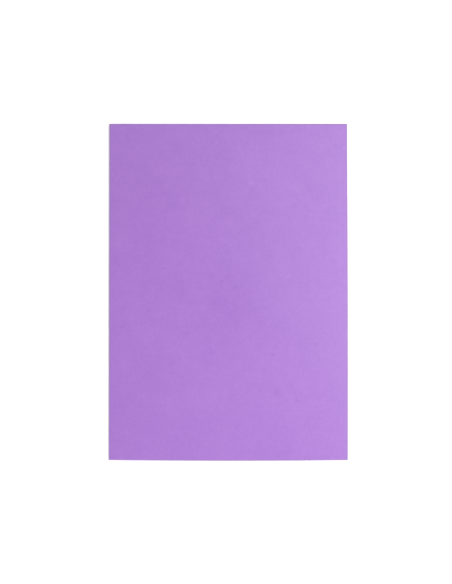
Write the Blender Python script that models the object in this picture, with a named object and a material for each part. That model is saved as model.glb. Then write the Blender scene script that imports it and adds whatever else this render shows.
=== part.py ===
"""Craft foam sheet: one A4 sheet of 2 mm closed-cell EVA foam, lying flat.

Metres, +Z up. X runs across the sheet and Y along it. The origin is the middle of the underside.
"""

import math

import bmesh
import bpy

# Driving dimensions of the sheet
SHEET_WIDTH = 0.210
SHEET_LENGTH = 0.297
SHEET_THICKNESS = 0.002

# How far the middle of a cut edge stands out past its own corners
FRONT_EDGE_BOW = 0.0006
RIGHT_EDGE_BOW = 0.0003

# The rounding that the blade leaves: of the corners seen from above, and of the lips along the cut edge
CORNER_RADIUS = 0.0005
LIP_RADIUS = 0.0003

# How finely the rounded shapes are cut up. A bow needs an even number, so that one point is on its middle.
BOW_SEGMENTS = 8
CORNER_SEGMENTS = 4
LIP_SEGMENTS = 3

# The lip's bevel takes only the edges where a face meets the cut edge, which turn by a right angle.
LIP_ANGLE = math.radians(60)
SMOOTH_ANGLE = math.radians(40)

# Finish of the foam
FOAM_COLOUR = 0xA473C9
FOAM_ROUGHNESS = 0.7
FOAM_IOR = 1.48


def clear_scene():
    for obj in list(bpy.data.objects):
        bpy.data.objects.remove(obj, do_unlink=True)


def linear_colour(colour):
    """A hex sRGB colour as linear red, green, blue and alpha."""
    channels = [(colour >> shift & 255) / 255 for shift in (16, 8, 0)]
    linear = [c / 12.92 if c <= 0.04045 else ((c + 0.055) / 1.055) ** 2.4 for c in channels]
    return (*linear, 1.0)


def foam_material():
    material = bpy.data.materials.new("eva_foam")
    material.use_nodes = True
    shader = material.node_tree.nodes["Principled BSDF"]
    shader.inputs["Base Color"].default_value = linear_colour(FOAM_COLOUR)
    shader.inputs["Roughness"].default_value = FOAM_ROUGHNESS
    shader.inputs["Metallic"].default_value = 0.0
    shader.inputs["IOR"].default_value = FOAM_IOR
    material.diffuse_color = linear_colour(FOAM_COLOUR)
    return material


def bowed_edge(start, end, bow):
    """Points from start up to, but without, end, along an edge whose middle stands out to the right by bow."""
    if not bow:
        return [start]
    (start_x, start_y), (end_x, end_y) = start, end
    along_x, along_y = end_x - start_x, end_y - start_y
    length = math.hypot(along_x, along_y)
    out_x, out_y = along_y / length, -along_x / length
    points = []
    for step in range(BOW_SEGMENTS):
        share = step / BOW_SEGMENTS
        out = 4 * bow * share * (1 - share)
        points.append((start_x + along_x * share + out_x * out, start_y + along_y * share + out_y * out))
    return points


def sheet_outline():
    """The cut outline, anticlockwise from the front left corner, and the places in it of its four corners."""
    left, right = -SHEET_WIDTH / 2, SHEET_WIDTH / 2 - RIGHT_EDGE_BOW
    front, back = -SHEET_LENGTH / 2 + FRONT_EDGE_BOW, SHEET_LENGTH / 2
    corners = [(left, front), (right, front), (right, back), (left, back)]
    bows = [FRONT_EDGE_BOW, RIGHT_EDGE_BOW, 0.0, 0.0]
    points, corner_places = [], []
    for i, bow in enumerate(bows):
        corner_places.append(len(points))
        points += bowed_edge(corners[i], corners[(i + 1) % len(corners)], bow)
    return points, corner_places


def sheet_mesh():
    """The outline with its corners rounded, lifted to the sheet's thickness."""
    points, corner_places = sheet_outline()
    shape = bmesh.new()
    rim = [shape.verts.new((x, y, 0.0)) for x, y in points]
    shape.faces.new(rim)
    bmesh.ops.bevel(
        shape,
        geom=[rim[place] for place in corner_places],
        offset=CORNER_RADIUS,
        segments=CORNER_SEGMENTS,
        profile=0.5,
        affect="VERTICES",
    )
    lifted = bmesh.ops.extrude_face_region(shape, geom=list(shape.faces))
    top = [item for item in lifted["geom"] if isinstance(item, bmesh.types.BMVert)]
    bmesh.ops.translate(shape, verts=top, vec=(0.0, 0.0, SHEET_THICKNESS))
    bmesh.ops.recalc_face_normals(shape, faces=shape.faces)
    mesh = bpy.data.meshes.new("foam_sheet")
    shape.to_mesh(mesh)
    shape.free()
    return mesh


def make_foam_sheet():
    sheet = bpy.data.objects.new("foam_sheet", sheet_mesh())
    bpy.context.scene.collection.objects.link(sheet)
    sheet.data.materials.append(foam_material())
    lips = sheet.modifiers.new("rounded_lips", "BEVEL")
    lips.width = LIP_RADIUS
    lips.segments = LIP_SEGMENTS
    lips.limit_method = "ANGLE"
    lips.angle_limit = LIP_ANGLE
    sheet.data.shade_smooth()
    sheet.data.set_sharp_from_angle(angle=SMOOTH_ANGLE)
    return sheet


def main():
    clear_scene()
    make_foam_sheet()


main()
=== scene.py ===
"""Craft foam sheet: one A4 sheet of purple closed-cell EVA foam, seen from above under two soft boxes."""

import math

import bmesh
import bpy
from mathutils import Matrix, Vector


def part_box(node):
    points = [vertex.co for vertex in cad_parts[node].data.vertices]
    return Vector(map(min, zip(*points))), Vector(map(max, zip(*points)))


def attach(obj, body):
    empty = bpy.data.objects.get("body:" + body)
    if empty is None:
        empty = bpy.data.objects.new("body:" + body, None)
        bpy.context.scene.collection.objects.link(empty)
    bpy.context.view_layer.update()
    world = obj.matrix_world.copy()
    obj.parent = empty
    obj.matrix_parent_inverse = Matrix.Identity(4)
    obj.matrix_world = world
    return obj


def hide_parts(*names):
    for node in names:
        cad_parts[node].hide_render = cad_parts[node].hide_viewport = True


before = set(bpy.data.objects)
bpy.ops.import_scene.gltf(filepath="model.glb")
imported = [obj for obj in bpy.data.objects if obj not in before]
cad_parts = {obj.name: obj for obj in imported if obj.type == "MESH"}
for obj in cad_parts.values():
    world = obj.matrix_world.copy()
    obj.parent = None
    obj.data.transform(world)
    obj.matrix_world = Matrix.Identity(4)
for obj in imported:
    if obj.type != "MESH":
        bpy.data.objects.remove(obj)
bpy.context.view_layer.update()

MM = 0.001

# The sheet as it was cut: its box from the frame, and what the box doesn't tell
SHEET_LOW, SHEET_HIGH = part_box("foam_sheet")
THICKNESS = SHEET_HIGH.z - SHEET_LOW.z
FRONT_EDGE_BOW = 0.6 * MM
RIGHT_EDGE_BOW = 0.3 * MM
CORNER_RADIUS = 0.5 * MM
CORNER_SEGMENTS = 4
LIP_RADIUS = 0.3 * MM
LIP_SEGMENTS = 3

# How finely the faces and the cut are meshed
FACE_PITCH = 1.5 * MM
RIM_WIDTH = 0.4 * MM
CUTS_UP_WALL = 5
CUTS_ALONG_WALL = 2

# How nearly up or down a face points that is level, and one that is truly flat
LEVEL = 0.99
FLAT = 0.9999

# What the blade does: it presses the top down along the cut, and the soft wall springs back hollow.
PRESSED_DEPTH = 0.04 * MM
PRESSED_WIDTH = 8 * MM
WALL_HOLLOW = 0.06 * MM

# Relief of the foam, as its size and how deep it goes
BROAD_SWELL = 34 * MM
BROAD_DEPTH = 0.03 * MM
SMALL_SWELL = 13 * MM
SMALL_DEPTH = 0.008 * MM
FACE_RELIEF = 0.006 * MM
CUT_RELIEF = 0.02 * MM
# Small dents lie where a cloudy pattern is lightest. They start at one lightness and are deepest at another.
DENT_SPACING = 9 * MM
DENT_DEPTH = 0.008 * MM
DENT_BORDER = 0.66
DENT_BOTTOM = 0.86
# The mesh of the cut is too coarse for single cells, so a pit stands for a few opened cells.
PIT_SIZE = 0.9 * MM
PIT_DEPTH = 0.05 * MM

# Colours of the foam as sRGB: where it is dense, where it is light, and along the cut
FACE_DEEP = 0x9B6AC3
FACE_PALE = 0xAD7CCF
CUT_DEEP = 0x8D6CAA
CUT_PALE = 0xA989C6
SCUFFED = 0x9F80BC

# Finish of the foam, and by how much its roughness varies with the mottle or the pores
FACE_ROUGHNESS = 0.4
FACE_ROUGHNESS_SPAN = 0.12
CUT_ROUGHNESS = 0.7
CUT_ROUGHNESS_SPAN = 0.2
FOAM_IOR = 1.48

# Patterns in the foam. Its cells are 0.15 to 0.3 mm wide, and its pores are drawn about twice as large.
# No pixel of the photograph could show even those, so a grain of clustered pores is drawn as well.
PORE_SIZE = 0.4 * MM
GRAIN_SIZE = 2.5 * MM
LARGEST_MOTTLE = 80 * MM
MOTTLE_OCTAVES = 5
# Which patch of the noise the sheet lies in, so that broad light and dark areas fall as in the photograph
MOTTLE_PLACE = (-0.782, -0.774, 0.1)
# Marks that the blade dragged along the cut
DRAG_SIZE = 12 * PIT_SIZE
DRAG_OCTAVES = 4

# Lightness of the face, 0 in its deep colour and 1 in its pale one: its start, and what each pattern adds
FACE_START = -0.35
MOTTLE_SHARE = 1.08
GRAIN_SHARE = 0.34
PORE_SHARE = 0.2
# The painted reflection of the camera takes this much off the face's lightness
CAMERA_REFLECTION_SHARE = -0.19
# The same for the cut
CUT_START = -0.2
CUT_PORE_SHARE = 0.7
DRAG_SHARE = 0.7

# Painted reflection of the camera: a faint darker oval near the middle of the top face, in millimetres
CAMERA_REFLECTION_MIDDLE = (2.5, -10.3)
CAMERA_REFLECTION_REACH = (39, 74)
CAMERA_REFLECTION_LEAN = math.radians(-16)

# Specks of too open or too dense cells, read off the photograph: millimetres across, along, in radius
DARK_SPECKS = (
    (31, -70, 4),
    (39, -55, 3),
    (43, -90, 6),
    (60, -96, 4),
    (77, -46, 3),
    (-70, -17, 3),
    (79, 11, 2),
    (32, 99, 2),
    (15, 121, 2),
    (-10, 138, 2),
    (67, 75, 3),
    (94, 129, 3),
    (-6, 9, 3),
    (7, 3, 3),
    (-91, 96, 3),
)
PALE_SPECKS = ((20, 96, 4), (52, 13, 3), (-40, 80, 3), (102, 127, 3))
SPECK_SHADE = 0.3
SPECK_DEPTH = 4 * MM
# Faint paler clouds, read in the same way
PALE_CLOUDS = ((13, 86, 8), (2, 61, 12), (59, 94, 8), (-98, 44, 8))
CLOUD_SHADE = 0.15

# The photograph's frame, how large the sheet is in it, and the camera's lens and sensor in millimetres
PHOTO_HEIGHT = 584
PIXELS_PER_METRE = 1136.2
PHOTO_MIDDLE = (-2.2 * MM, -0.1 * MM)
CAMERA_TILT = math.radians(3.3)
LENS = 200
SENSOR = 36

# The white paper sweep, a hair under the sheet
SWEEP_RADIUS = 3.0
SWEEP_SIDES = 96
SWEEP_HEIGHT = 0.9
SWEEP_CURVE = 0.6
SWEEP_CURVE_SEGMENTS = 12
SWEEP_GAP = 0.1 * MM
PAPER = 0xFAFAFA
PAPER_ROUGHNESS = 0.9

# The paper's glow, weak up to one distance from the sheet's middle and full from another on
WEAK_GLOW = 0.22
WEAK_GLOW_ENDS = 0.3
FULL_GLOW = 0.8
FULL_GLOW_STARTS = SWEEP_RADIUS / 3
ROOM_BRIGHTNESS = 0.16

# Sockets of a Mix node, which share their names, by place
FACTOR, NUMBER_A, NUMBER_B, COLOUR_A, COLOUR_B = 0, 2, 3, 6, 7
MIXED_NUMBER, MIXED_COLOUR = 0, 2


def srgb(colour):
    """A hex sRGB colour as linear red, green, blue and alpha."""
    channels = [(colour >> shift & 255) / 255 for shift in (16, 8, 0)]
    linear = [c / 12.92 if c <= 0.04045 else ((c + 0.055) / 1.055) ** 2.4 for c in channels]
    return (*linear, 1.0)


def pick(kind, wanted):
    """Selects the elements of the mesh in edit mode that are wanted, and nothing else."""
    bpy.ops.mesh.select_mode(type={"verts": "VERT", "edges": "EDGE", "faces": "FACE"}[kind])
    bpy.ops.mesh.select_all(action="DESELECT")
    mesh = bpy.context.object.data
    shape = bmesh.from_edit_mesh(mesh)
    for element in getattr(shape, kind):
        if wanted(element):
            element.select_set(True)
    bmesh.update_edit_mesh(mesh)


def pull(value, reach):
    """Moves what is selected, and its surroundings with it, less and less up to reach."""
    bpy.ops.transform.translate(
        value=value,
        use_proportional_edit=True,
        proportional_edit_falloff="INVERSE_SQUARE",
        proportional_size=reach,
    )


def is_level(face):
    """Whether a face lies in the top or the underside, and not in the cut or its lips."""
    return abs(face.normal.z) > LEVEL


def cut_outline():
    """A flat grid with the sheet's outline: two straight edges, two slightly bowed ones, small corners."""
    left, right = SHEET_LOW.x, SHEET_HIGH.x - RIGHT_EDGE_BOW
    front, back = SHEET_LOW.y + FRONT_EDGE_BOW, SHEET_HIGH.y
    width, length = right - left, back - front
    bpy.ops.object.select_all(action="DESELECT")
    bpy.ops.mesh.primitive_grid_add(
        x_subdivisions=2 * round(width / FACE_PITCH / 2),
        y_subdivisions=2 * round(length / FACE_PITCH / 2),
        size=1,
    )
    bpy.ops.object.mode_set(mode="EDIT")
    bpy.ops.transform.resize(value=(width, length, 1))
    middle_x, middle_y = (left + right) / 2, (front + back) / 2
    bpy.ops.transform.translate(value=(middle_x, middle_y, SHEET_LOW.z))
    near = FACE_PITCH / 4
    pick("verts", lambda v: len(v.link_edges) == 2)
    bpy.ops.mesh.bevel(offset=CORNER_RADIUS, segments=CORNER_SEGMENTS, affect="VERTICES")
    pick("verts", lambda v: abs(v.co.x - middle_x) < near and abs(v.co.y - front) < near)
    pull((0, -FRONT_EDGE_BOW, 0), width / 2)
    pick("verts", lambda v: abs(v.co.y - middle_y) < near and abs(v.co.x - right) < near)
    pull((RIGHT_EDGE_BOW, 0, 0), length / 2)
    bpy.ops.mesh.select_all(action="SELECT")
    bpy.ops.mesh.inset(thickness=RIM_WIDTH, use_even_offset=True)


def raise_to_thickness():
    """Lifts the flat outline to the sheet's thickness, and presses the top down along the cut."""
    bpy.ops.mesh.select_all(action="SELECT")
    bpy.ops.mesh.extrude_region_move(TRANSFORM_OT_translate={"value": (0, 0, THICKNESS)})
    bpy.ops.mesh.hide(unselected=True)
    pick("verts", lambda v: not v.hide and any(f.hide for f in v.link_faces))
    pull((0, 0, -PRESSED_DEPTH), PRESSED_WIDTH)
    bpy.ops.mesh.reveal(select=False)
    bpy.ops.mesh.select_all(action="SELECT")
    bpy.ops.mesh.normals_make_consistent(inside=False)


def finish_cut():
    """Rounds both lips of the cut, meshes the cut finely enough for its pits, and hollows its wall."""
    pick("edges", lambda e: sorted(map(is_level, e.link_faces)) == [False, True])
    bpy.ops.mesh.bevel(offset=LIP_RADIUS, segments=LIP_SEGMENTS, affect="EDGES")
    pick("edges", lambda e: abs(e.verts[0].co.z - e.verts[1].co.z) > THICKNESS / 2)
    bpy.ops.mesh.subdivide(number_cuts=CUTS_UP_WALL)
    level_step = THICKNESS / 1000

    def runs_along_cut(edge):
        on_cut = not all(map(is_level, edge.link_faces))
        level = abs(edge.verts[0].co.z - edge.verts[1].co.z) < level_step
        return on_cut and level and edge.calc_length() > FACE_PITCH / 2

    pick("edges", runs_along_cut)
    bpy.ops.mesh.subdivide(number_cuts=CUTS_ALONG_WALL)
    middle = (SHEET_LOW.z + SHEET_HIGH.z) / 2
    pick("verts", lambda v: abs(v.co.z - middle) < THICKNESS / 20)
    bpy.ops.transform.shrink_fatten(
        value=-WALL_HOLLOW,
        use_proportional_edit=True,
        proportional_edit_falloff="SMOOTH",
        proportional_size=THICKNESS / 2 - LIP_RADIUS,
    )
    bpy.ops.object.mode_set(mode="OBJECT")


def displace(piece, texture, depth, group=""):
    """Presses the surface in by depth where the texture is dark, and not at all where it is light."""
    press = piece.modifiers.new(texture.name, "DISPLACE")
    press.texture = texture
    press.texture_coords = "LOCAL"
    press.strength = depth
    press.mid_level = 1.0
    press.vertex_group = group
    bpy.ops.object.modifier_apply(modifier=press.name)


def swell_texture(name, size):
    """Soft light and dark clouds of one size."""
    swells = bpy.data.textures.new(name, "CLOUDS")
    swells.noise_scale = size
    return swells


def dent_texture():
    """Light nearly everywhere, and dark in a few small round places."""
    dents = swell_texture("small_dents", DENT_SPACING)
    dents.use_color_ramp = True
    border, bottom = dents.color_ramp.elements
    border.position, border.color = DENT_BORDER, (1, 1, 1, 1)
    bottom.position, bottom.color = DENT_BOTTOM, (0, 0, 0, 1)
    return dents


def pit_texture():
    """Dark in the middle of each pit."""
    pits = bpy.data.textures.new("opened_cells", "VORONOI")
    pits.noise_scale = PIT_SIZE
    return pits


def mark_cut(piece):
    """Marks the cut for its pits and its own material, and the scuffed rim that fades into the faces."""
    mesh = piece.data
    on_cut = set()
    for face in mesh.polygons:
        if not is_level(face):
            face.material_index = 1
            on_cut.update(face.vertices)
    piece.vertex_groups.new(name="cut").add(list(on_cut), 1.0, "REPLACE")
    scuffed = mesh.attributes.new("scuffed", "FLOAT", "POINT")
    for edge in mesh.edges:
        if on_cut.intersection(edge.vertices):
            for end in edge.vertices:
                scuffed.data[end].value = 1.0


def make_foam_sheet():
    """The whole sheet: cut out, raised, its cut finished, and its relief pressed in."""
    cut_outline()
    raise_to_thickness()
    finish_cut()
    piece = bpy.context.object
    piece.name = "foam_sheet_skin"
    piece.data.materials.append(eva_foam_face())
    piece.data.materials.append(eva_foam_cut())
    mark_cut(piece)
    displace(piece, pit_texture(), PIT_DEPTH, "cut")
    displace(piece, swell_texture("broad_swells", BROAD_SWELL), BROAD_DEPTH)
    displace(piece, swell_texture("small_swells", SMALL_SWELL), SMALL_DEPTH)
    displace(piece, dent_texture(), DENT_DEPTH)
    bpy.ops.object.shade_smooth()
    return piece


def add_node(tree, kind, inputs=None, **settings):
    """Adds a node, with its settings and with its inputs set or linked by name or place."""
    node = tree.nodes.new(kind)
    for name, value in settings.items():
        setattr(node, name, value)
    for name, value in (inputs or {}).items():
        if isinstance(value, bpy.types.NodeSocket):
            tree.links.new(value, node.inputs[name])
        else:
            node.inputs[name].default_value = value
    return node


def plain_material(name, colour, roughness):
    """A material of one colour and roughness, and its shader."""
    material = bpy.data.materials.new(name)
    material.use_nodes = True
    shader = material.node_tree.nodes["Principled BSDF"]
    shader.inputs["Base Color"].default_value = srgb(colour)
    shader.inputs["Roughness"].default_value = roughness
    return material, shader


def soft_patch(tree, place, middle, reach, depth, lean=0.0):
    """1 in an ellipse's middle on the top face, and 0 from its border and from that depth on."""
    in_patch = add_node(
        tree,
        "ShaderNodeMapping",
        {
            "Vector": place,
            "Location": (middle[0] * MM, middle[1] * MM, SHEET_HIGH.z),
            "Rotation": (0, 0, lean),
            "Scale": (reach[0] * MM, reach[1] * MM, depth),
        },
        vector_type="TEXTURE",
    ).outputs["Vector"]
    fading = add_node(tree, "ShaderNodeTexGradient", {"Vector": in_patch}, gradient_type="SPHERICAL")
    return add_node(
        tree, "ShaderNodeMapRange", {"Value": fading.outputs["Fac"]}, interpolation_type="SMOOTHSTEP"
    ).outputs["Result"]


def single_specks(tree, place):
    """Each pale speck or cloud above 0, each dark speck below 0, and 0 between them."""
    shade = 0.0
    for specks, strength in (
        (DARK_SPECKS, -SPECK_SHADE),
        (PALE_SPECKS, SPECK_SHADE),
        (PALE_CLOUDS, CLOUD_SHADE),
    ):
        for across, along, radius in specks:
            speck = soft_patch(tree, place, (across, along), (radius, radius), SPECK_DEPTH)
            shade = add_node(
                tree, "ShaderNodeMath", {0: speck, 1: strength, 2: shade}, operation="MULTIPLY_ADD"
            ).outputs[0]
    return shade


def eva_foam_face():
    """Face of closed-cell EVA foam that was split from a block and rolled smooth.

    The eye gets a soft, satin, even purple. Pores too fine to be told apart give it a faint grain, and at
    every size above that it is mottled, a little paler where the foam is light and deeper where it is dense.
    Close to the cut it is scuffed to the cut's own colour and roughness. A faint darker oval near the middle
    is a painted reflection of the camera.
    """
    material, shader = plain_material("eva_foam_face", FACE_DEEP, FACE_ROUGHNESS)
    tree = material.node_tree
    shader.inputs["IOR"].default_value = FOAM_IOR
    place = add_node(tree, "ShaderNodeTexCoord").outputs["Object"]
    pores = add_node(
        tree, "ShaderNodeTexVoronoi", {"Vector": place, "Scale": 1 / PORE_SIZE}, voronoi_dimensions="2D"
    ).outputs["Distance"]
    grain = add_node(
        tree, "ShaderNodeTexNoise", {"Vector": place, "Scale": 1 / GRAIN_SIZE, "Detail": 0}
    ).outputs["Fac"]
    patch = add_node(
        tree, "ShaderNodeMapping", {"Vector": place, "Location": MOTTLE_PLACE}
    ).outputs["Vector"]
    mottle = add_node(
        tree,
        "ShaderNodeTexNoise",
        {"Vector": patch, "Scale": 1 / LARGEST_MOTTLE, "Detail": MOTTLE_OCTAVES, "Roughness": 1.0},
    ).outputs["Fac"]
    specks = single_specks(tree, place)
    # Painted reflection of the camera: a faint darker oval near the middle of the top face
    camera_reflection = soft_patch(tree, place, CAMERA_REFLECTION_MIDDLE, CAMERA_REFLECTION_REACH, THICKNESS / 2, CAMERA_REFLECTION_LEAN)
    lightness = FACE_START
    for pattern, share in (
        (mottle, MOTTLE_SHARE),
        (grain, GRAIN_SHARE),
        (pores, PORE_SHARE),
        (specks, 1.0),
        (camera_reflection, CAMERA_REFLECTION_SHARE),
    ):
        lightness = add_node(
            tree, "ShaderNodeMath", {0: pattern, 1: share, 2: lightness}, operation="MULTIPLY_ADD"
        ).outputs[0]
    scuffed = add_node(tree, "ShaderNodeAttribute", attribute_name="scuffed").outputs["Fac"]
    clean = add_node(
        tree,
        "ShaderNodeMix",
        {FACTOR: lightness, COLOUR_A: srgb(FACE_DEEP), COLOUR_B: srgb(FACE_PALE)},
        data_type="RGBA",
    ).outputs[MIXED_COLOUR]
    colour = add_node(
        tree,
        "ShaderNodeMix",
        {FACTOR: scuffed, COLOUR_A: clean, COLOUR_B: srgb(SCUFFED)},
        data_type="RGBA",
    )
    tree.links.new(colour.outputs[MIXED_COLOUR], shader.inputs["Base Color"])
    rolled = add_node(
        tree,
        "ShaderNodeMath",
        {0: mottle, 1: FACE_ROUGHNESS_SPAN, 2: FACE_ROUGHNESS - FACE_ROUGHNESS_SPAN / 2},
        operation="MULTIPLY_ADD",
    ).outputs[0]
    roughness = add_node(
        tree, "ShaderNodeMix", {FACTOR: scuffed, NUMBER_A: rolled, NUMBER_B: CUT_ROUGHNESS}
    )
    tree.links.new(roughness.outputs[MIXED_NUMBER], shader.inputs["Roughness"])
    bump = add_node(tree, "ShaderNodeBump", {"Height": lightness, "Distance": FACE_RELIEF})
    tree.links.new(bump.outputs["Normal"], shader.inputs["Normal"])
    return material


def eva_foam_cut():
    """The same foam where a blade opened its cells, so it is rougher, greyer and more speckled."""
    material, shader = plain_material("eva_foam_cut", SCUFFED, CUT_ROUGHNESS)
    tree = material.node_tree
    shader.inputs["IOR"].default_value = FOAM_IOR
    place = add_node(tree, "ShaderNodeTexCoord").outputs["Object"]
    pores = add_node(
        tree, "ShaderNodeTexVoronoi", {"Vector": place, "Scale": 1 / PORE_SIZE}
    ).outputs["Distance"]
    drag = add_node(
        tree, "ShaderNodeTexNoise", {"Vector": place, "Scale": 1 / DRAG_SIZE, "Detail": DRAG_OCTAVES}
    ).outputs["Fac"]
    lightness = CUT_START
    for pattern, share in ((pores, CUT_PORE_SHARE), (drag, DRAG_SHARE)):
        lightness = add_node(
            tree, "ShaderNodeMath", {0: pattern, 1: share, 2: lightness}, operation="MULTIPLY_ADD"
        ).outputs[0]
    colour = add_node(
        tree,
        "ShaderNodeMix",
        {FACTOR: lightness, COLOUR_A: srgb(CUT_DEEP), COLOUR_B: srgb(CUT_PALE)},
        data_type="RGBA",
    )
    tree.links.new(colour.outputs[MIXED_COLOUR], shader.inputs["Base Color"])
    roughness = add_node(
        tree,
        "ShaderNodeMath",
        {0: pores, 1: -CUT_ROUGHNESS_SPAN, 2: CUT_ROUGHNESS + CUT_ROUGHNESS_SPAN / 2},
        operation="MULTIPLY_ADD",
    )
    tree.links.new(roughness.outputs[0], shader.inputs["Roughness"])
    bump = add_node(tree, "ShaderNodeBump", {"Height": pores, "Distance": CUT_RELIEF})
    tree.links.new(bump.outputs["Normal"], shader.inputs["Normal"])
    return material


def matte_white_paper():
    """White background paper, matte and unmarked, and lit from behind so that it burns out to white."""
    material, shader = plain_material("matte_white_paper", PAPER, PAPER_ROUGHNESS)
    tree = material.node_tree
    place = add_node(tree, "ShaderNodeTexCoord").outputs["Object"]
    away = add_node(tree, "ShaderNodeVectorMath", {0: place}, operation="LENGTH").outputs["Value"]
    glow = add_node(
        tree,
        "ShaderNodeMapRange",
        {
            "Value": away,
            "From Min": WEAK_GLOW_ENDS,
            "From Max": FULL_GLOW_STARTS,
            "To Min": WEAK_GLOW,
            "To Max": FULL_GLOW,
        },
        interpolation_type="SMOOTHSTEP",
    ).outputs["Result"]
    shader.inputs["Emission Color"].default_value = (1, 1, 1, 1)
    tree.links.new(glow, shader.inputs["Emission Strength"])
    return material


def make_sweep():
    """A round floor whose border curves up into a low wall, so that every view has the same background."""
    bpy.ops.object.select_all(action="DESELECT")
    floor_level = SHEET_LOW.z - SWEEP_GAP
    bpy.ops.mesh.primitive_cylinder_add(
        vertices=SWEEP_SIDES,
        radius=SWEEP_RADIUS,
        depth=SWEEP_HEIGHT,
        location=(0, 0, floor_level + SWEEP_HEIGHT / 2),
    )
    bpy.ops.object.transform_apply()
    bpy.ops.object.mode_set(mode="EDIT")
    pick("faces", lambda f: f.normal.z > FLAT)
    bpy.ops.mesh.delete(type="FACE")
    pick("edges", lambda e: all(v.co.z < SWEEP_HEIGHT / 2 for v in e.verts))
    bpy.ops.mesh.bevel(offset=SWEEP_CURVE, segments=SWEEP_CURVE_SEGMENTS, affect="EDGES")
    pick("faces", lambda f: f.normal.z < -FLAT)
    bpy.ops.mesh.inset(thickness=SWEEP_CURVE / 4)
    bpy.ops.mesh.select_all(action="SELECT")
    bpy.ops.mesh.flip_normals()
    bpy.ops.object.mode_set(mode="OBJECT")
    bpy.ops.object.shade_smooth()
    sweep = bpy.context.object
    sweep.name = "white_sweep"
    sweep.data.materials.append(matte_white_paper())


def add_soft_box(name, from_above, turned, distance, size, brightness):
    """A square light turned to the sheet, by its angle from straight above and its angle round from +X."""
    tilt, turn = math.radians(from_above), math.radians(turned)
    towards = Vector((math.sin(tilt) * math.cos(turn), math.sin(tilt) * math.sin(turn), math.cos(tilt)))
    light = bpy.data.lights.new(name, "AREA")
    light.shape = "SQUARE"
    light.size = size
    light.energy = brightness * math.pi * size**2
    lamp = bpy.data.objects.new(name, light)
    lamp.location = towards * distance
    lamp.rotation_euler = towards.to_track_quat("Z", "Y").to_euler()
    bpy.context.scene.collection.objects.link(lamp)


def light_studio():
    """A bright soft box to the right, a weaker one at the front, and an even white room."""
    add_soft_box("right_soft_box", from_above=26.1, turned=13.2, distance=1.16, size=0.58, brightness=10.45)
    add_soft_box("front_soft_box", from_above=68.8, turned=-99, distance=0.8, size=0.8, brightness=1.95)
    world = bpy.data.worlds.new("white_room")
    world.use_nodes = True
    room = world.node_tree.nodes["Background"]
    room.inputs["Color"].default_value = (1, 1, 1, 1)
    room.inputs["Strength"].default_value = ROOM_BRIGHTNESS
    bpy.context.scene.world = world


def make_camera():
    """High above the sheet, a little off plumb, and far enough away for its size in the photograph."""
    camera = bpy.data.cameras.new("camera")
    camera.lens = LENS
    camera.sensor_width = SENSOR
    holder = bpy.data.objects.new("camera", camera)
    middle_x, middle_y = PHOTO_MIDDLE
    distance = LENS / SENSOR * PHOTO_HEIGHT / PIXELS_PER_METRE
    back, up = distance * math.sin(CAMERA_TILT), distance * math.cos(CAMERA_TILT)
    holder.location = (middle_x, middle_y - back, up)
    holder.rotation_euler = (CAMERA_TILT, 0, 0)
    bpy.context.scene.collection.objects.link(holder)
    bpy.context.scene.camera = holder
    bpy.context.scene.view_settings.view_transform = "Standard"


make_camera()
make_sweep()
light_studio()
sheet = make_foam_sheet()
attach(sheet, "root")
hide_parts("foam_sheet")
